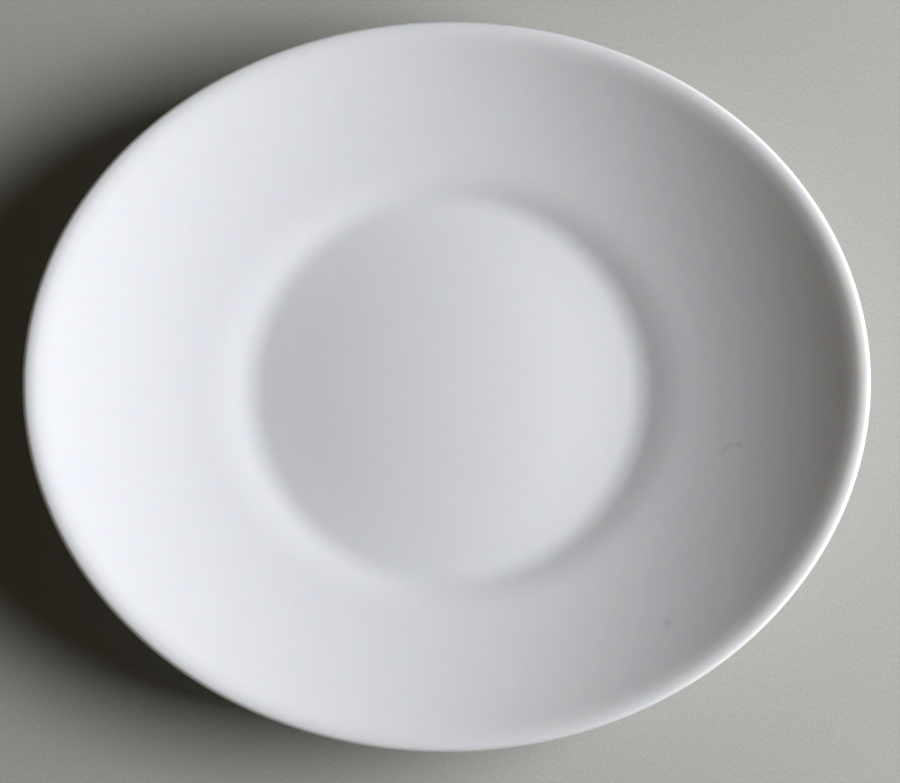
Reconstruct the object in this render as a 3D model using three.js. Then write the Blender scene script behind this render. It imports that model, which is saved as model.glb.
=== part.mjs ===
// Oval coupe dessert plate in one piece of glazed porcelain: a round sunk well whose floor rises a little to
// its middle, a bowl that steepens towards the oval rim, a lip that rolls over to a tight edge and dips at
// the two short sides, and a foot ring.
import * as THREE from "three";

// Driving dimensions in millimetres; a name that ends in TILT is a slope in degrees

// Rim and wall
const RIM_LENGTH = 210; // over the lip, along X
const RIM_WIDTH = 183.2; // over the lip, along Y
const PLATE_HEIGHT = 29.5; // from the table to the top of the lip at the two long ends
const WALL_THICKNESS = 4.5; // of the floor and the lower bowl
const LIP_ROLL_RADIUS = 6.3; // broad rounding from the bowl over to the top of the lip
const LIP_EDGE_RADIUS = 1.1; // tight rounding from the top of the lip down its outside

// Round well
const WELL_FLOOR_RADIUS = 47.4; // lowest ring of the floor, in the bend
const WELL_CROWN_TILT = 5.2; // slope of the floor up towards its middle
const WELL_CROWN_ROUND = 35; // radius of the rounded middle of the floor
const WELL_BEND_RADIUS = 15.5; // hollow bend where the floor turns up
const WELL_EDGE_TILT = 19.7; // steepest slope of the well's edge
const SHOULDER_RADIUS = 115; // soft rounding that eases the edge into the bowl
const BOWL_START_TILT = 15.1; // slope where the bowl leaves the shoulder

// Oval
const ROUND_RADIUS = 46; // the plate is round out to here and grows oval beyond
const RIM_BAND = 3.2; // band along the lip that keeps its width all the way round
const OVAL_EASE = 3.2; // reach of the soft bends where the plate starts and stops growing oval
const SIDE_DIP = 7.1; // how far the lip dips at the two short sides

// Foot ring
const FOOT_LAND_WIDTH = 3; // flat ring that stands on the table
const FOOT_RECESS = 2.4; // from the table to the base panel just inside the ring
const FOOT_FLANK_TILT = 70; // steepest slope of the ring's sides
const FOOT_EDGE_ROUND = 0.6; // rounding of the ring's two edges

// Glaze
const GLAZE_COLOUR = 0xe6e7ea;
const GLAZE_ROUGHNESS = 0.6;

// Facets
const SEGMENTS_AROUND = 80;
const CROWN_STEPS = 3;
const BEND_STEPS = 5;
const SHOULDER_STEPS = 2;
const BOWL_STEPS = 8;
const LIP_STEPS = 3; // for each part of the lip's rounding
const FLANK_STEPS = 4;
const EDGE_STEPS = 2;

const HALF_TURN = Math.PI;
const radians = THREE.MathUtils.degToRad;

// Draws the section outward from the axis as lines and arcs that run on smoothly from one another.
// The heading is the direction of the line, 0 outward and a quarter turn upward.
class SectionPen {
  constructor(x, y, heading) {
    this.path = [{ x, y, heading }];
  }

  get tip() {
    return this.path.at(-1);
  }

  forward(length) {
    const { x, y, heading } = this.tip;
    this.path.push({ x: x + length * Math.cos(heading), y: y + length * Math.sin(heading), heading });
  }

  // A greater heading bends the line to the left and a smaller one to the right
  turnTo(heading, radius, steps) {
    const start = this.tip;
    const bend = Math.sign(heading - start.heading) * radius;
    const centreX = start.x - bend * Math.sin(start.heading);
    const centreY = start.y + bend * Math.cos(start.heading);
    for (let step = 1; step <= steps; step += 1) {
      const angle = THREE.MathUtils.lerp(start.heading, heading, step / steps);
      this.path.push({
        x: centreX + bend * Math.sin(angle),
        y: centreY - bend * Math.cos(angle),
        heading: angle,
      });
    }
  }
}

// The arc that runs on from a point and meets a circle smoothly.
// The circle's radius is negative where the arc goes round the circle's far side.
function arcToMeet(start, circleX, circleY, circleRadius) {
  const alongX = circleX - start.x;
  const alongY = circleY - start.y;
  const rise = alongY * Math.cos(start.heading) - alongX * Math.sin(start.heading);
  const radius = (alongX ** 2 + alongY ** 2 - circleRadius ** 2) / (2 * (rise + circleRadius));
  const centreX = start.x - radius * Math.sin(start.heading);
  const centreY = start.y + radius * Math.cos(start.heading);
  return { radius, endTilt: Math.atan2(circleX - centreX, centreY - circleY) };
}

// The point of the underside that lies one wall below a point of the top
function wallBelow({ x, y, heading }) {
  return {
    x: x + WALL_THICKNESS * Math.sin(heading),
    y: y - WALL_THICKNESS * Math.cos(heading),
    heading,
  };
}

// A floor from its rounded middle on the axis down its slope to the given radius and height
function drawCrown(radius, height) {
  const crownTilt = radians(WELL_CROWN_TILT);
  const slope = radius - WELL_CROWN_ROUND;
  const rise = WELL_CROWN_ROUND * Math.tan(crownTilt / 2) + slope * Math.tan(crownTilt);
  const crown = new SectionPen(0, height + rise, 0);
  crown.turnTo(-crownTilt, WELL_CROWN_ROUND / Math.sin(crownTilt), CROWN_STEPS);
  crown.forward(slope / Math.cos(crownTilt));
  return crown;
}

// The crowned floor of the well and the bend where it turns up, from the middle of the plate
function drawWell() {
  const crownTilt = radians(WELL_CROWN_TILT);
  const bendStart = WELL_FLOOR_RADIUS - WELL_BEND_RADIUS * Math.sin(crownTilt);
  const bendRise = WELL_BEND_RADIUS * (1 - Math.cos(crownTilt));
  const well = drawCrown(bendStart, FOOT_RECESS + WALL_THICKNESS + bendRise);
  well.turnTo(radians(WELL_EDGE_TILT), WELL_BEND_RADIUS, BEND_STEPS);
  return well;
}

// The shoulder above the well, with the wall's underside below it, and the bowl out to the lip
function drawBowl({ x, y, heading }) {
  const lipX = RIM_LENGTH / 2 - LIP_EDGE_RADIUS;
  const top = new SectionPen(x, y, heading);
  top.turnTo(radians(BOWL_START_TILT), SHOULDER_RADIUS, SHOULDER_STEPS);
  const below = new SectionPen(x, y, heading);
  below.path = top.path.map(wallBelow);
  const roll = arcToMeet(top.tip, lipX, PLATE_HEIGHT - LIP_ROLL_RADIUS, LIP_ROLL_RADIUS);
  top.turnTo(roll.endTilt, roll.radius, BOWL_STEPS);
  const edge = arcToMeet(below.tip, lipX, PLATE_HEIGHT - LIP_EDGE_RADIUS, -LIP_EDGE_RADIUS);
  below.turnTo(edge.endTilt, edge.radius, BOWL_STEPS);
  return { top, below };
}

// The lip rolls broadly over to its top, then tightly down its outside and on to the underside
function drawLip({ x, y, heading }, underTilt) {
  const lip = new SectionPen(x, y, heading);
  lip.turnTo(0, LIP_ROLL_RADIUS, LIP_STEPS);
  lip.turnTo(-HALF_TURN / 2, LIP_EDGE_RADIUS, LIP_STEPS);
  lip.turnTo(underTilt - HALF_TURN, LIP_EDGE_RADIUS, LIP_STEPS);
  return lip;
}

// The foot ring grows out of the underside below the well's edge and ends where the base panel starts
function drawFoot(start) {
  const flankTilt = radians(FOOT_FLANK_TILT);
  const crownTilt = radians(WELL_CROWN_TILT);
  const edgeDrop = FOOT_EDGE_ROUND * (1 - Math.cos(flankTilt));
  const outerRoot = (start.y - edgeDrop) / (Math.cos(start.heading) - Math.cos(flankTilt));
  const innerRoot = (FOOT_RECESS - edgeDrop) / (Math.cos(crownTilt) - Math.cos(flankTilt));
  const foot = new SectionPen(start.x, start.y, start.heading - HALF_TURN);
  foot.turnTo(flankTilt - HALF_TURN, outerRoot, FLANK_STEPS);
  foot.turnTo(-HALF_TURN, FOOT_EDGE_ROUND, EDGE_STEPS);
  foot.forward(FOOT_LAND_WIDTH);
  foot.turnTo(-flankTilt - HALF_TURN, FOOT_EDGE_ROUND, EDGE_STEPS);
  foot.turnTo(-crownTilt - HALF_TURN, innerRoot, FLANK_STEPS);
  return foot;
}

// Half of the plate's lengthwise section, from the middle of the top round to the middle of the base
function plateSection() {
  const well = drawWell();
  const { top, below } = drawBowl(well.tip);
  const lip = drawLip(top.tip, below.tip.heading);
  const underside = below.path.toReversed();
  const foot = drawFoot(underside.at(-1));
  const base = drawCrown(foot.tip.x, foot.tip.y).path.toReversed();
  const runs = [well.path, top.path, lip.path, underside, foot.path, base];
  // Each run starts where the one before it ends, so its first point is left out
  const outline = runs.flatMap((run, index) => (index === 0 ? run : run.slice(1)));
  return outline.map(({ x, y }) => new THREE.Vector2(x, y));
}

// Stays at 0 up to a start and then climbs evenly with the distance past it, with a soft bend between
function softRamp(distance) {
  const nearness = Math.max(OVAL_EASE - Math.abs(distance), 0) / OVAL_EASE;
  return Math.max(distance, 0) + (OVAL_EASE * nearness ** 3) / 6;
}

// Draws the round plate in along Y, not at all in the well and then at an even rate out to the lip.
// What is drawn in also dips, though never below the table, so the bowl slopes alike all the way round.
function makeOval(geometry) {
  const drawIn = (RIM_LENGTH - RIM_WIDTH) / 2;
  const rimStart = RIM_LENGTH / 2 - RIM_BAND;
  const position = geometry.getAttribute("position");
  for (let index = 0; index < position.count; index += 1) {
    const y = position.getY(index);
    const radius = Math.hypot(position.getX(index), y);
    const climb = softRamp(radius - ROUND_RADIUS) - softRamp(radius - rimStart);
    const share = climb / (rimStart - ROUND_RADIUS);
    if (share > 0) {
      const sideShare = (share * y) / radius;
      const dipped = position.getZ(index) - SIDE_DIP * sideShare ** 2;
      position.setY(index, y - drawIn * sideShare);
      position.setZ(index, Math.max(dipped, 0));
    }
  }
  geometry.computeVertexNormals();
}

function plateBody() {
  const geometry = new THREE.LatheGeometry(plateSection().reverse(), SEGMENTS_AROUND);
  geometry.rotateX(HALF_TURN / 2);
  makeOval(geometry);
  const glaze = new THREE.MeshStandardMaterial({
    color: GLAZE_COLOUR,
    roughness: GLAZE_ROUGHNESS,
    metalness: 0,
  });
  const body = new THREE.Mesh(geometry, glaze);
  body.name = "plate_body";
  return body;
}

const plate = new THREE.Group();
plate.add(plateBody());

export default plate;
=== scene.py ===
"""Oval coupe dessert plate: satin-glazed porcelain with a round sunk well, on a pale studio floor."""
import math
from collections import namedtuple

import bpy
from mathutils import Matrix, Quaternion, Vector


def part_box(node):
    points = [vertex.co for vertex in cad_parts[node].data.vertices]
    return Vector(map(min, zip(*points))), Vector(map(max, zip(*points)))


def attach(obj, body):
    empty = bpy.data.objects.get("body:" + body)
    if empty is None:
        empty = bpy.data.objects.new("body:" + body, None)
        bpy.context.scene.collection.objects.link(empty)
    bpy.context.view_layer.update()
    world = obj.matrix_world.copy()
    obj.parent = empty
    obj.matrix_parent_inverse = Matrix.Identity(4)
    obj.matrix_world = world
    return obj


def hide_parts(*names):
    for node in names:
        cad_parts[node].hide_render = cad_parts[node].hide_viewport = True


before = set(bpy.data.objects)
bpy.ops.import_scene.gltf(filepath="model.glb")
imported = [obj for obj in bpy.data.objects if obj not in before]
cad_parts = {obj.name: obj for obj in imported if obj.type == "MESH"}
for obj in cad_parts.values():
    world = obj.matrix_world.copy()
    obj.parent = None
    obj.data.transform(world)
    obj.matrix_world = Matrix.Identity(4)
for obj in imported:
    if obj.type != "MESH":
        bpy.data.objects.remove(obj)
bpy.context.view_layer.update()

MM = 0.001

# Overall sizes, from the solid that the plate replaces
BODY_LOW, BODY_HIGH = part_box("plate_body")
RIM_LENGTH = (BODY_HIGH.x - BODY_LOW.x) / MM
RIM_WIDTH = (BODY_HIGH.y - BODY_LOW.y) / MM
PLATE_HEIGHT = BODY_HIGH.z / MM

# Section of the plate in millimetres; a name that ends in TILT is a slope in degrees
WALL_THICKNESS = 4.5
# The lip's rounding starts gently; the solid bends straight into a roll of 6.3, within 0.1 of this
LIP_EASE_RADIUS = 25.0
LIP_ROLL_TILT = 26.0
LIP_ROLL_RADIUS = 5.8
LIP_EDGE_RADIUS = 1.1
WELL_FLOOR_RADIUS = 47.4
WELL_CROWN_TILT = 5.2
WELL_CROWN_ROUND = 35.0
WELL_BEND_RADIUS = 15.5
WELL_EDGE_TILT = 19.7
SHOULDER_RADIUS = 115.0
BOWL_START_TILT = 15.1
ROUND_RADIUS = 46.0
RIM_BAND = 3.2
OVAL_EASE = 3.2
SIDE_DIP = 7.1
FOOT_LAND_WIDTH = 3.0
FOOT_RECESS = 2.4
FOOT_FLANK_TILT = 70.0
FOOT_EDGE_ROUND = 0.6
# The foot ring is bare clay up to this height
BARE_HEIGHT = FOOT_EDGE_ROUND / 2

# How deep the glaze lies, from 0 where the clay is bare to 1 where it pools, and how much the dip varies that
GLAZE_EVEN = 0.5
# At 1 the glaze lies pooled in the well's bend and the foot's inner root, where its darker white is partly
# painted shade
GLAZE_POOLED_SHADED = 1.0
GLAZE_EASED = 0.35
GLAZE_THIN = 0.15
GLAZE_NONE = 0.0
DIP_UNEVENNESS = 0.3
GLAZE_ATTRIBUTE = "glaze_depth"

# Fineness of the mesh, with lengths in millimetres
FACET_LENGTH = 1.1
FACET_TURN = math.radians(6)
SEGMENTS_AROUND = 320
SPINE_RADIUS = 1.0
WELD_DISTANCE = 0.001

# Glaze: its colours, how it bends light, and how rough it is, with the part that rubbing takes off at the lip
GLAZE_WHITE = "#EAECF2"
# Darker white where the glaze pools in the well's bend and the foot's inner root: partly pooled glaze, partly
# painted shade in these creases
GLAZE_POOLED_SHADED_WHITE = "#E7E9EF"
SPECK_COLOUR = "#8C857C"
SPECK_STRENGTH = 0.4
MARK_COLOUR = "#8F8F90"
GLAZE_IOR = 1.4
GLAZE_SMOOTHEST = 0.7
GLAZE_DULLEST = 0.8
LIP_RUB = 0.06

# Glaze: how far red, green and blue light spread in it and the sizes of its patterns, in millimetres
LIGHT_SPREAD = Vector((2.1, 1.8, 1.2))
DIP_PATCH = 28.0
SHEEN_PATCH = 9.0
SKIN_WAVE = 14.0
SKIN_WAVE_HEIGHT = 0.06
SKIN_PEEL = 1.2
SKIN_PEEL_HEIGHT = 0.012
SPECK_SPACING = 13.0
SPECK_RADIUS = 0.2

# Most values of a noise texture lie between these two
NOISE_LOW = 0.3
NOISE_HIGH = 0.7

# Marks of use on the glaze, in millimetres and degrees: a grey scuff, the spot at its end, and a faint stain
GlazeMark = namedtuple("GlazeMark", "place radius half_width direction reach strength")
GLAZE_MARKS = (
    GlazeMark((71.9, -18.9, 14.9), radius=3.3, half_width=0.6, direction=110.0, reach=58.0, strength=0.18),
    GlazeMark((73.4, -15.8, 15.1), radius=0.0, half_width=0.8, direction=0.0, reach=360.0, strength=0.1),
    GlazeMark((54.2, -60.2, 18.1), radius=0.0, half_width=1.8, direction=0.0, reach=360.0, strength=0.2),
)
# Half of the turn over which an arc's ends fade
MARK_FADE = 12.0

# Bare clay and floor: colours, roughness, and the sizes of their patterns in millimetres
CLAY_DARK = "#CFC8BC"
CLAY_PALE = "#E6E1D8"
CLAY_SMOOTHEST = 0.78
CLAY_ROUGHEST = 0.92
CLAY_GRIT = 0.5
CLAY_GRIT_HEIGHT = 0.05
FLOOR_DARK = "#A9AAA6"
FLOOR_PALE = "#C9CAC6"
FLOOR_ROUGHNESS = 0.9
FLOOR_SPECULAR = 0.2
FLOOR_GRAIN_ACROSS = 0.45
FLOOR_GRAIN_ALONG = 0.9

# Place of the plate in the photograph, in pixels
IMAGE_WIDTH = 900
IMAGE_HEIGHT = 783
RIM_MIDDLE_X = 446.4
RIM_MIDDLE_Y = 380.5
RIM_LENGTH_PIXELS = 848.5

# Camera, with its lean from straight above towards the front
LENS = 150.0
SENSOR_WIDTH = 36.0
VIEW_LEAN = math.radians(5.8)
VIEW_ROLL = math.radians(0.8)

# Soft box, room light and floor, in metres and watts
KEY_PLACE = Vector((0.975, 0.015, 0.575))
KEY_WIDTH = 0.83
KEY_HEIGHT = 0.57
KEY_POWER = 19.1
ROOM_LIGHT = 0.035
ROOM_COLOUR = "#FFE7BE"
FLOOR_HALF_SIZE = 3.0

SectionPoint = namedtuple("SectionPoint", "x y heading glaze")


def linear_colour(hex_colour):
    """The linear red, green, blue and alpha of an sRGB hex colour."""
    channels = [int(hex_colour[start:start + 2], 16) / 255 for start in (1, 3, 5)]
    linear = [c / 12.92 if c <= 0.04045 else ((c + 0.055) / 1.055) ** 2.4 for c in channels]
    return (*linear, 1.0)


def add_node(tree, kind, settings=None, inputs=None):
    """Adds a node with its settings and its inputs, each a plain value or the output that feeds it."""
    node = tree.nodes.new(kind)
    for name, value in (settings or {}).items():
        setattr(node, name, value)
    for key, value in (inputs or {}).items():
        if isinstance(value, bpy.types.NodeSocket):
            tree.links.new(value, node.inputs[key])
        else:
            node.inputs[key].default_value = value
    return node


# Section of the plate


class SectionPen:
    """Draws the section outward from the axis as lines and arcs that run on smoothly from one another."""

    def __init__(self, x, y, heading, glaze):
        self.path = [SectionPoint(x, y, heading, glaze)]

    @property
    def tip(self):
        return self.path[-1]

    def forward(self, length, glaze):
        x, y, heading, _ = self.tip
        x += length * math.cos(heading)
        y += length * math.sin(heading)
        self.path.append(SectionPoint(x, y, heading, glaze))

    def turn_to(self, heading, radius, glaze):
        """A greater heading bends the line to the left and a smaller one to the right."""
        start = self.tip
        turn = heading - start.heading
        bend = math.copysign(radius, turn)
        centre_x = start.x - bend * math.sin(start.heading)
        centre_y = start.y + bend * math.cos(start.heading)
        steps = max(math.ceil(abs(turn) / FACET_TURN), math.ceil(abs(turn) * radius / FACET_LENGTH))
        for step in range(1, steps + 1):
            share = step / steps
            angle = start.heading + turn * share
            x = centre_x + bend * math.sin(angle)
            y = centre_y - bend * math.cos(angle)
            depth = start.glaze + (glaze - start.glaze) * share
            self.path.append(SectionPoint(x, y, angle, depth))


def arc_to_meet(start, circle_x, circle_y, circle_radius):
    """Radius and end tilt of the arc that runs on from a point and meets a circle smoothly.

    The circle's radius is negative where the arc goes round the circle's far side.
    """
    along_x = circle_x - start.x
    along_y = circle_y - start.y
    rise = along_y * math.cos(start.heading) - along_x * math.sin(start.heading)
    radius = (along_x ** 2 + along_y ** 2 - circle_radius ** 2) / (2 * (rise + circle_radius))
    centre_x = start.x - radius * math.sin(start.heading)
    centre_y = start.y + radius * math.cos(start.heading)
    return radius, math.atan2(circle_x - centre_x, centre_y - circle_y)


def wall_below(point):
    """The point of the underside that lies one wall below a point of the top."""
    x = point.x + WALL_THICKNESS * math.sin(point.heading)
    y = point.y - WALL_THICKNESS * math.cos(point.heading)
    return point._replace(x=x, y=y)


def draw_crown(radius, height):
    """A floor from its rounded middle on the axis down its slope to the given radius and height."""
    crown_tilt = math.radians(WELL_CROWN_TILT)
    slope = radius - WELL_CROWN_ROUND
    rise = WELL_CROWN_ROUND * math.tan(crown_tilt / 2) + slope * math.tan(crown_tilt)
    crown = SectionPen(0.0, height + rise, 0.0, GLAZE_EVEN)
    crown.turn_to(-crown_tilt, WELL_CROWN_ROUND / math.sin(crown_tilt), GLAZE_EVEN)
    crown.forward(slope / math.cos(crown_tilt), GLAZE_EVEN)
    return crown


def draw_well():
    """The crowned floor of the well and the bend where it turns up, from the middle of the plate."""
    crown_tilt = math.radians(WELL_CROWN_TILT)
    bend_start = WELL_FLOOR_RADIUS - WELL_BEND_RADIUS * math.sin(crown_tilt)
    bend_rise = WELL_BEND_RADIUS * (1 - math.cos(crown_tilt))
    well = draw_crown(bend_start, FOOT_RECESS + WALL_THICKNESS + bend_rise)
    # The glaze pools in the bend, and its darker white there is partly painted shade
    well.turn_to(math.radians(WELL_EDGE_TILT), WELL_BEND_RADIUS, GLAZE_POOLED_SHADED)
    return well


def draw_bowl(start):
    """The shoulder above the well, with the wall's underside below it, and the bowl out to the lip's roll."""
    lip_x = RIM_LENGTH / 2 - LIP_EDGE_RADIUS
    roll_tilt = math.radians(LIP_ROLL_TILT)
    widening = LIP_EASE_RADIUS - LIP_ROLL_RADIUS
    ease_x = lip_x + widening * math.sin(roll_tilt)
    ease_y = PLATE_HEIGHT - LIP_ROLL_RADIUS - widening * math.cos(roll_tilt)
    top = SectionPen(*start)
    top.turn_to(math.radians(BOWL_START_TILT), SHOULDER_RADIUS, GLAZE_EASED)
    below = SectionPen(*wall_below(start))
    below.path = [wall_below(point) for point in top.path]
    radius, end_tilt = arc_to_meet(top.tip, ease_x, ease_y, LIP_EASE_RADIUS)
    top.turn_to(end_tilt, radius, GLAZE_EVEN)
    top.turn_to(roll_tilt, LIP_EASE_RADIUS, GLAZE_EVEN)
    radius, end_tilt = arc_to_meet(below.tip, lip_x, PLATE_HEIGHT - LIP_EDGE_RADIUS, -LIP_EDGE_RADIUS)
    below.turn_to(end_tilt, radius, GLAZE_EVEN)
    return top, below


def draw_lip(start, under_tilt):
    """The lip rolls broadly over to its top, then tightly down its outside and on to the underside."""
    lip = SectionPen(*start)
    lip.turn_to(0.0, LIP_ROLL_RADIUS, GLAZE_THIN)
    lip.turn_to(-math.pi / 2, LIP_EDGE_RADIUS, GLAZE_THIN)
    lip.turn_to(under_tilt - math.pi, LIP_EDGE_RADIUS, GLAZE_EVEN)
    return lip


def draw_foot(start):
    """The foot ring grows out of the underside below the well's edge and ends where the base panel starts."""
    flank_tilt = math.radians(FOOT_FLANK_TILT)
    crown_tilt = math.radians(WELL_CROWN_TILT)
    edge_drop = FOOT_EDGE_ROUND * (1 - math.cos(flank_tilt))
    outer_root = (start.y - edge_drop) / (math.cos(start.heading + math.pi) - math.cos(flank_tilt))
    inner_root = (FOOT_RECESS - edge_drop) / (math.cos(crown_tilt) - math.cos(flank_tilt))
    foot = SectionPen(*start)
    foot.turn_to(flank_tilt - math.pi, outer_root, GLAZE_THIN)
    foot.turn_to(-math.pi, FOOT_EDGE_ROUND, GLAZE_NONE)
    foot.forward(FOOT_LAND_WIDTH, GLAZE_NONE)
    foot.turn_to(-flank_tilt - math.pi, FOOT_EDGE_ROUND, GLAZE_THIN)
    # The glaze pools in the inner root, and its darker white there is partly painted shade
    foot.turn_to(-crown_tilt - math.pi, inner_root, GLAZE_POOLED_SHADED)
    return foot


def plate_section():
    """Half of the lengthwise section, from the middle of the top round to the middle of the base."""
    well = draw_well()
    top, below = draw_bowl(well.tip)
    lip = draw_lip(top.tip, below.tip.heading)
    underside = [point._replace(heading=point.heading - math.pi) for point in reversed(below.path)]
    foot = draw_foot(underside[-1])
    base = draw_crown(foot.tip.x, foot.tip.y).path
    section = list(well.path)
    for run in (top.path, lip.path, underside, foot.path, base[::-1]):
        section.extend(run[1:])
    return section


def section_mesh():
    """The section as a chain of edges, with the depth of the glaze at each point."""
    section = plate_section()
    mesh = bpy.data.meshes.new("plate_section")
    points = [(point.x * MM, point.y * MM, 0.0) for point in section]
    mesh.from_pydata(points, [(index, index + 1) for index in range(len(points) - 1)], [])
    depth = mesh.attributes.new(GLAZE_ATTRIBUTE, "FLOAT", "POINT")
    depth.data.foreach_set("value", [point.glaze for point in section])
    return mesh


# Plate, spun from its section and drawn in to an oval


def oval_plate_tree():
    """Spins the section round the upright axis, then draws it in along Y and dips it towards the rim."""
    tree = bpy.data.node_groups.new("oval_plate", "GeometryNodeTree")
    kinds = {
        "Section": "NodeSocketGeometry",
        "Segments": "NodeSocketInt",
        "Spine radius": "NodeSocketFloat",
        "Rim length": "NodeSocketFloat",
        "Rim width": "NodeSocketFloat",
        "Round radius": "NodeSocketFloat",
        "Rim band": "NodeSocketFloat",
        "Oval ease": "NodeSocketFloat",
        "Side dip": "NodeSocketFloat",
        "Weld distance": "NodeSocketFloat",
        "Bare height": "NodeSocketFloat",
        "Glaze": "NodeSocketMaterial",
        "Bare clay": "NodeSocketMaterial",
    }
    sockets = {}
    for name, kind in kinds.items():
        sockets[name] = tree.interface.new_socket(name=name, in_out="INPUT", socket_type=kind).identifier
    tree.interface.new_socket(name="Plate", in_out="OUTPUT", socket_type="NodeSocketGeometry")
    given = add_node(tree, "NodeGroupInput").outputs

    # The section stands upright on a thin ring, which carries it once round the axis
    half_turn = add_node(tree, "ShaderNodeCombineXYZ", inputs={"X": math.pi})
    shift_back = add_node(tree, "ShaderNodeMath", {"operation": "MULTIPLY"}, {
        0: given["Spine radius"],
        1: -1.0,
    })
    shift = add_node(tree, "ShaderNodeCombineXYZ", inputs={"X": shift_back.outputs[0]})
    outline = add_node(tree, "GeometryNodeMeshToCurve", inputs={"Mesh": given["Section"]})
    profile = add_node(tree, "GeometryNodeTransform", inputs={
        "Geometry": outline.outputs["Curve"],
        "Translation": shift.outputs["Vector"],
        "Rotation": half_turn.outputs["Vector"],
    })
    ring = add_node(tree, "GeometryNodeCurvePrimitiveCircle", inputs={
        "Resolution": given["Segments"],
        "Radius": given["Spine radius"],
    })
    spun = add_node(tree, "GeometryNodeCurveToMesh", inputs={
        "Curve": ring.outputs["Curve"],
        "Profile Curve": profile.outputs["Geometry"],
    })
    welded = add_node(tree, "GeometryNodeMergeByDistance", inputs={
        "Geometry": spun.outputs["Mesh"],
        "Distance": given["Weld distance"],
    })

    # Each point moves towards the X axis by its share of half the difference between length and width
    place = add_node(tree, "GeometryNodeInputPosition")
    along = add_node(tree, "ShaderNodeSeparateXYZ", inputs={0: place.outputs["Position"]})
    level = add_node(tree, "ShaderNodeCombineXYZ", inputs={"X": along.outputs["X"], "Y": along.outputs["Y"]})
    radius = add_node(tree, "ShaderNodeVectorMath", {"operation": "LENGTH"}, {0: level.outputs["Vector"]})
    half_length = add_node(tree, "ShaderNodeMath", {"operation": "MULTIPLY"}, {
        0: given["Rim length"],
        1: 0.5,
    })
    rim_start = add_node(tree, "ShaderNodeMath", {"operation": "SUBTRACT"}, {
        0: half_length.outputs[0],
        1: given["Rim band"],
    })
    ramps = []
    for ramp_start in (given["Round radius"], rim_start.outputs[0]):
        past = add_node(tree, "ShaderNodeMath", {"operation": "SUBTRACT"}, {
            0: radius.outputs["Value"],
            1: ramp_start,
        })
        ramp = add_node(tree, "ShaderNodeMath", {"operation": "SMOOTH_MAX"}, {
            0: past.outputs[0],
            1: 0.0,
            2: given["Oval ease"],
        })
        ramps.append(ramp.outputs[0])
    climb = add_node(tree, "ShaderNodeMath", {"operation": "SUBTRACT"}, {0: ramps[0], 1: ramps[1]})
    span = add_node(tree, "ShaderNodeMath", {"operation": "SUBTRACT"}, {
        0: rim_start.outputs[0],
        1: given["Round radius"],
    })
    share = add_node(tree, "ShaderNodeMath", {"operation": "DIVIDE"}, {
        0: climb.outputs[0],
        1: span.outputs[0],
    })
    side_reach = add_node(tree, "ShaderNodeMath", {"operation": "MULTIPLY"}, {
        0: share.outputs[0],
        1: along.outputs["Y"],
    })
    side_share = add_node(tree, "ShaderNodeMath", {"operation": "DIVIDE"}, {
        0: side_reach.outputs[0],
        1: radius.outputs["Value"],
    })
    half_width = add_node(tree, "ShaderNodeMath", {"operation": "MULTIPLY"}, {
        0: given["Rim width"],
        1: 0.5,
    })
    draw_in = add_node(tree, "ShaderNodeMath", {"operation": "SUBTRACT"}, {
        0: half_length.outputs[0],
        1: half_width.outputs[0],
    })
    inward = add_node(tree, "ShaderNodeMath", {"operation": "MULTIPLY"}, {
        0: draw_in.outputs[0],
        1: side_share.outputs[0],
    })
    across = add_node(tree, "ShaderNodeMath", {"operation": "SUBTRACT"}, {
        0: along.outputs["Y"],
        1: inward.outputs[0],
    })

    # It also dips by the square of that share, though never below the table
    dip_share = add_node(tree, "ShaderNodeMath", {"operation": "MULTIPLY"}, {
        0: side_share.outputs[0],
        1: side_share.outputs[0],
    })
    dip = add_node(tree, "ShaderNodeMath", {"operation": "MULTIPLY"}, {
        0: dip_share.outputs[0],
        1: given["Side dip"],
    })
    dipped = add_node(tree, "ShaderNodeMath", {"operation": "SUBTRACT"}, {
        0: along.outputs["Z"],
        1: dip.outputs[0],
    })
    height = add_node(tree, "ShaderNodeMath", {"operation": "MAXIMUM"}, {0: dipped.outputs[0], 1: 0.0})
    moved = add_node(tree, "ShaderNodeCombineXYZ", inputs={
        "X": along.outputs["X"],
        "Y": across.outputs[0],
        "Z": height.outputs[0],
    })
    oval = add_node(tree, "GeometryNodeSetPosition", inputs={
        "Geometry": welded.outputs["Geometry"],
        "Position": moved.outputs["Vector"],
    })

    # Only the flat land of the foot ring is left bare
    smooth = add_node(tree, "GeometryNodeSetShadeSmooth", inputs={"Geometry": oval.outputs["Geometry"]})
    real = add_node(tree, "GeometryNodeRealizeInstances", inputs={"Geometry": smooth.outputs["Geometry"]})
    glazed = add_node(tree, "GeometryNodeSetMaterial", inputs={
        "Geometry": real.outputs["Geometry"],
        "Material": given["Glaze"],
    })
    is_low = add_node(tree, "FunctionNodeCompare", {"data_type": "FLOAT", "operation": "LESS_THAN"}, {
        "A": along.outputs["Z"],
        "B": given["Bare height"],
    })
    finished = add_node(tree, "GeometryNodeSetMaterial", inputs={
        "Geometry": glazed.outputs["Geometry"],
        "Selection": is_low.outputs["Result"],
        "Material": given["Bare clay"],
    })
    add_node(tree, "NodeGroupOutput", inputs={"Plate": finished.outputs["Geometry"]})
    return tree, sockets


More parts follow.
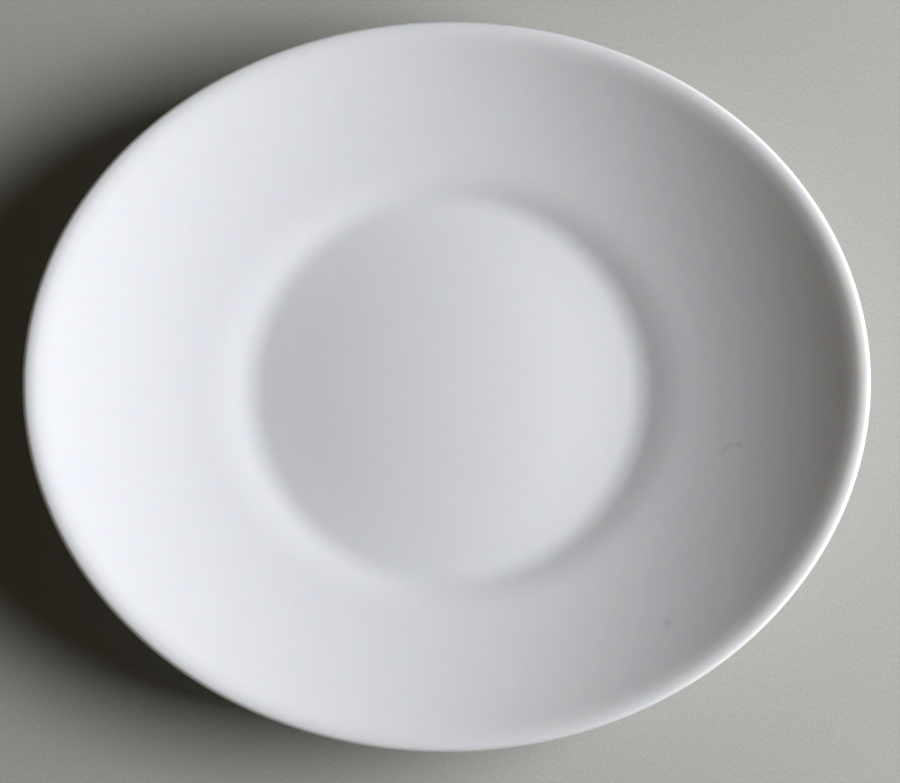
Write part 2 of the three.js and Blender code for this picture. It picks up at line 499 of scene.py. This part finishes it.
def make_plate(glaze, bare_clay):
    """The plate as one plain mesh at the origin."""
    tree, sockets = oval_plate_tree()
    maker = bpy.data.objects.new("plate_maker", section_mesh())
    bpy.context.scene.collection.objects.link(maker)
    modifier = maker.modifiers.new("oval_plate", "NODES")
    modifier.node_group = tree
    values = {
        "Segments": SEGMENTS_AROUND,
        "Spine radius": SPINE_RADIUS * MM,
        "Rim length": RIM_LENGTH * MM,
        "Rim width": RIM_WIDTH * MM,
        "Round radius": ROUND_RADIUS * MM,
        "Rim band": RIM_BAND * MM,
        "Oval ease": OVAL_EASE * MM,
        "Side dip": SIDE_DIP * MM,
        "Weld distance": WELD_DISTANCE * MM,
        "Bare height": BARE_HEIGHT * MM,
        "Glaze": glaze,
        "Bare clay": bare_clay,
    }
    for name, value in values.items():
        modifier[sockets[name]] = value
    evaluated = maker.evaluated_get(bpy.context.evaluated_depsgraph_get())
    mesh = bpy.data.meshes.new_from_object(evaluated)
    bpy.data.objects.remove(maker)
    mesh.name = "porcelain_plate"
    plate = bpy.data.objects.new("porcelain_plate", mesh)
    bpy.context.scene.collection.objects.link(plate)
    return plate


# Materials


def mark_mask(tree, place, mark):
    """How strongly a mark shows: an arc of a ring about its place, or a spot if the ring has no radius."""
    direction = math.radians(mark.direction)
    away = add_node(tree, "ShaderNodeVectorMath", {"operation": "SUBTRACT"}, {
        0: place,
        1: Vector(mark.place) * MM,
    })
    distance = add_node(tree, "ShaderNodeVectorMath", {"operation": "LENGTH"}, {0: away.outputs["Vector"]})
    past_ring = add_node(tree, "ShaderNodeMath", {"operation": "SUBTRACT"}, {
        0: distance.outputs["Value"],
        1: mark.radius * MM,
    })
    off_ring = add_node(tree, "ShaderNodeMath", {"operation": "ABSOLUTE"}, {0: past_ring.outputs[0]})
    band = add_node(tree, "ShaderNodeMapRange", {"interpolation_type": "SMOOTHSTEP"}, {
        "Value": off_ring.outputs[0],
        "From Min": 0.0,
        "From Max": mark.half_width * MM,
        "To Min": mark.strength,
        "To Max": 0.0,
    })
    heading = add_node(tree, "ShaderNodeVectorMath", {"operation": "NORMALIZE"}, {0: away.outputs["Vector"]})
    facing = add_node(tree, "ShaderNodeVectorMath", {"operation": "DOT_PRODUCT"}, {
        0: heading.outputs["Vector"],
        1: (math.cos(direction), math.sin(direction), 0.0),
    })
    turn = add_node(tree, "ShaderNodeMath", {"operation": "ARCCOSINE"}, {0: facing.outputs["Value"]})
    sector = add_node(tree, "ShaderNodeMapRange", {"interpolation_type": "SMOOTHSTEP"}, {
        "Value": turn.outputs[0],
        "From Min": math.radians(mark.reach - MARK_FADE),
        "From Max": math.radians(mark.reach + MARK_FADE),
        "To Min": 1.0,
        "To Max": 0.0,
    })
    mask = add_node(tree, "ShaderNodeMath", {"operation": "MULTIPLY"}, {
        0: band.outputs["Result"],
        1: sector.outputs["Result"],
    })
    return mask.outputs[0]


def satin_white_glaze():
    """Porcelain dipped in satin white glaze and fired: a broad dull sheen over a faintly wavy skin.

    A cool white that greys where the glaze pools, in the well's bend and the foot's inner root, which is
    partly painted shade in these creases. Red light spreads furthest in it, which warms the shaded side, and
    the lip is rubbed a little glossier.
    """
    material = bpy.data.materials.new("satin_white_glaze")
    material.use_nodes = True
    tree = material.node_tree
    shader = tree.nodes["Principled BSDF"]
    shader.inputs["IOR"].default_value = GLAZE_IOR
    shader.inputs["Subsurface Weight"].default_value = 1.0
    shader.inputs["Subsurface Radius"].default_value = LIGHT_SPREAD
    shader.inputs["Subsurface Scale"].default_value = MM
    place = add_node(tree, "ShaderNodeTexCoord").outputs["Object"]
    depth = add_node(tree, "ShaderNodeAttribute", {"attribute_name": GLAZE_ATTRIBUTE}).outputs["Fac"]

    # The white follows the depth of the glaze, in slow patches left by the dip, and greys where the glaze
    # pools in creases, which is partly painted shade
    patches = add_node(tree, "ShaderNodeTexNoise", inputs={
        "Vector": place,
        "Scale": 1 / (DIP_PATCH * MM),
        "Detail": 2.0,
    })
    uneven = add_node(tree, "ShaderNodeMath", {"operation": "MULTIPLY_ADD"}, {
        0: patches.outputs["Fac"],
        1: DIP_UNEVENNESS,
        2: depth,
    })
    pooled_shade = add_node(tree, "ShaderNodeMapRange", inputs={
        "Value": uneven.outputs[0],
        "From Min": GLAZE_EVEN + DIP_UNEVENNESS / 2,
        "From Max": GLAZE_POOLED_SHADED + DIP_UNEVENNESS / 2,
    })
    white = add_node(tree, "ShaderNodeMix", {"data_type": "RGBA"}, {
        "Factor": pooled_shade.outputs["Result"],
        "A": linear_colour(GLAZE_WHITE),
        "B": linear_colour(GLAZE_POOLED_SHADED_WHITE),
    })
    colour = white.outputs["Result"]

    # Rare iron specks from the clay, one to a cell and only where the skin passes close to its middle
    cells = add_node(tree, "ShaderNodeTexVoronoi", inputs={
        "Vector": place,
        "Scale": 1 / (SPECK_SPACING * MM),
    })
    speck = add_node(tree, "ShaderNodeMapRange", {"interpolation_type": "SMOOTHSTEP"}, {
        "Value": cells.outputs["Distance"],
        "From Min": 0.0,
        "From Max": SPECK_RADIUS / SPECK_SPACING,
        "To Min": SPECK_STRENGTH,
        "To Max": 0.0,
    })
    specked = add_node(tree, "ShaderNodeMix", {"data_type": "RGBA"}, {
        "Factor": speck.outputs["Result"],
        "A": colour,
        "B": linear_colour(SPECK_COLOUR),
    })
    colour = specked.outputs["Result"]
    for mark in GLAZE_MARKS:
        marked = add_node(tree, "ShaderNodeMix", {"data_type": "RGBA"}, {
            "Factor": mark_mask(tree, place, mark),
            "A": colour,
            "B": linear_colour(MARK_COLOUR),
        })
        colour = marked.outputs["Result"]
    tree.links.new(colour, shader.inputs["Base Color"])

    # The sheen varies in patches, and the thin glaze of the lip is rubbed smoother by stacking and washing
    patchy = add_node(tree, "ShaderNodeTexNoise", inputs={
        "Vector": place,
        "Scale": 1 / (SHEEN_PATCH * MM),
        "Detail": 3.0,
    })
    dull = add_node(tree, "ShaderNodeMapRange", inputs={
        "Value": patchy.outputs["Fac"],
        "From Min": NOISE_LOW,
        "From Max": NOISE_HIGH,
        "To Min": GLAZE_SMOOTHEST,
        "To Max": GLAZE_DULLEST,
    })
    rubbed = add_node(tree, "ShaderNodeMapRange", inputs={
        "Value": depth,
        "From Min": GLAZE_THIN,
        "From Max": GLAZE_EASED,
        "To Min": LIP_RUB,
        "To Max": 0.0,
    })
    roughness = add_node(tree, "ShaderNodeMath", {"operation": "SUBTRACT"}, {
        0: dull.outputs["Result"],
        1: rubbed.outputs["Result"],
    })
    tree.links.new(roughness.outputs[0], shader.inputs["Roughness"])

    # The skin waves slowly and carries a fine peel, which is drawn several times coarser than it is, to show
    waves = add_node(tree, "ShaderNodeTexNoise", inputs={
        "Vector": place,
        "Scale": 1 / (SKIN_WAVE * MM),
        "Detail": 1.0,
    })
    peel = add_node(tree, "ShaderNodeTexNoise", inputs={
        "Vector": place,
        "Scale": 1 / (SKIN_PEEL * MM),
        "Detail": 2.0,
    })
    skin = add_node(tree, "ShaderNodeMath", {"operation": "MULTIPLY_ADD"}, {
        0: peel.outputs["Fac"],
        1: SKIN_PEEL_HEIGHT / SKIN_WAVE_HEIGHT,
        2: waves.outputs["Fac"],
    })
    relief = add_node(tree, "ShaderNodeBump", inputs={
        "Distance": SKIN_WAVE_HEIGHT * MM,
        "Height": skin.outputs[0],
    })
    tree.links.new(relief.outputs["Normal"], shader.inputs["Normal"])
    return material


def bare_porcelain():
    """Porcelain ground bare on the foot ring: dry, rough and a little warm, with a fine grit."""
    material = bpy.data.materials.new("bare_ground_porcelain")
    material.use_nodes = True
    tree = material.node_tree
    shader = tree.nodes["Principled BSDF"]
    place = add_node(tree, "ShaderNodeTexCoord").outputs["Object"]
    grit = add_node(tree, "ShaderNodeTexNoise", inputs={
        "Vector": place,
        "Scale": 1 / (CLAY_GRIT * MM),
        "Detail": 3.0,
    })
    tone = add_node(tree, "ShaderNodeMix", {"data_type": "RGBA"}, {
        "Factor": grit.outputs["Fac"],
        "A": linear_colour(CLAY_DARK),
        "B": linear_colour(CLAY_PALE),
    })
    tree.links.new(tone.outputs["Result"], shader.inputs["Base Color"])
    dry = add_node(tree, "ShaderNodeMapRange", inputs={
        "Value": grit.outputs["Fac"],
        "From Min": NOISE_LOW,
        "From Max": NOISE_HIGH,
        "To Min": CLAY_ROUGHEST,
        "To Max": CLAY_SMOOTHEST,
    })
    tree.links.new(dry.outputs["Result"], shader.inputs["Roughness"])
    relief = add_node(tree, "ShaderNodeBump", inputs={
        "Distance": CLAY_GRIT_HEIGHT * MM,
        "Height": grit.outputs["Fac"],
    })
    tree.links.new(relief.outputs["Normal"], shader.inputs["Normal"])
    return material


def floor_finish():
    """Pale grey table top with a fine dry grain."""
    material = bpy.data.materials.new("pale_grey_floor")
    material.use_nodes = True
    tree = material.node_tree
    shader = tree.nodes["Principled BSDF"]
    shader.inputs["Roughness"].default_value = FLOOR_ROUGHNESS
    shader.inputs["Specular IOR Level"].default_value = FLOOR_SPECULAR
    place = add_node(tree, "ShaderNodeTexCoord").outputs["Object"]
    laid = add_node(tree, "ShaderNodeMapping", inputs={
        "Vector": place,
        "Scale": (1 / (FLOOR_GRAIN_ACROSS * MM), 1 / (FLOOR_GRAIN_ALONG * MM), 1.0),
    })
    grain = add_node(tree, "ShaderNodeTexNoise", inputs={
        "Vector": laid.outputs["Vector"],
        "Scale": 1.0,
        "Detail": 2.0,
    })
    tone = add_node(tree, "ShaderNodeMix", {"data_type": "RGBA"}, {
        "Factor": grain.outputs["Fac"],
        "A": linear_colour(FLOOR_DARK),
        "B": linear_colour(FLOOR_PALE),
    })
    tree.links.new(tone.outputs["Result"], shader.inputs["Base Color"])
    return material


# Stage, lamps and camera


def make_floor():
    """A wide flat sheet in the plane that the foot ring stands on."""
    mesh = bpy.data.meshes.new("floor")
    half = FLOOR_HALF_SIZE
    corners = [(-half, -half, 0), (half, -half, 0), (half, half, 0), (-half, half, 0)]
    mesh.from_pydata(corners, [], [(0, 1, 2, 3)])
    mesh.materials.append(floor_finish())
    floor = bpy.data.objects.new("floor", mesh)
    bpy.context.scene.collection.objects.link(floor)


def make_lamps():
    """One wide soft box to the right of the plate, and a dim warm room."""
    lamp = bpy.data.lights.new("soft_box", "AREA")
    lamp.shape = "RECTANGLE"
    lamp.size = KEY_WIDTH
    lamp.size_y = KEY_HEIGHT
    lamp.energy = KEY_POWER
    soft_box = bpy.data.objects.new("soft_box", lamp)
    soft_box.location = KEY_PLACE
    plate_middle = Vector((0, 0, PLATE_HEIGHT * MM / 2))
    soft_box.rotation_euler = (plate_middle - KEY_PLACE).to_track_quat("-Z", "Y").to_euler()
    bpy.context.scene.collection.objects.link(soft_box)
    world = bpy.data.worlds.new("room")
    world.use_nodes = True
    background = world.node_tree.nodes["Background"]
    background.inputs["Color"].default_value = linear_colour(ROOM_COLOUR)
    background.inputs["Strength"].default_value = ROOM_LIGHT
    bpy.context.scene.world = world


def make_camera():
    """Almost straight above, so that the rim lies where the photograph has it."""
    camera = bpy.data.cameras.new("camera")
    camera.lens = LENS
    camera.sensor_width = SENSOR_WIDTH
    viewer = bpy.data.objects.new("camera", camera)
    pixel = RIM_LENGTH * MM / RIM_LENGTH_PIXELS
    turn = Quaternion((1, 0, 0), VIEW_LEAN) @ Quaternion((0, 0, 1), -VIEW_ROLL)
    right = turn @ Vector((1, 0, 0))
    up = turn @ Vector((0, 1, 0))
    back = turn @ Vector((0, 0, 1))
    rim_middle = Vector((0, 0, (PLATE_HEIGHT - LIP_EDGE_RADIUS) * MM))
    aim = rim_middle + right * (IMAGE_WIDTH / 2 - RIM_MIDDLE_X) * pixel
    aim -= up * (IMAGE_HEIGHT / 2 - RIM_MIDDLE_Y) * pixel
    viewer.location = aim + back * LENS / SENSOR_WIDTH * IMAGE_WIDTH * pixel
    viewer.rotation_euler = turn.to_euler()
    bpy.context.scene.collection.objects.link(viewer)
    bpy.context.scene.camera = viewer


make_camera()
make_lamps()
make_floor()
plate = make_plate(satin_white_glaze(), bare_porcelain())
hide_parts("plate_body")
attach(plate, "root")

bpy.context.scene.view_settings.view_transform = "Standard"
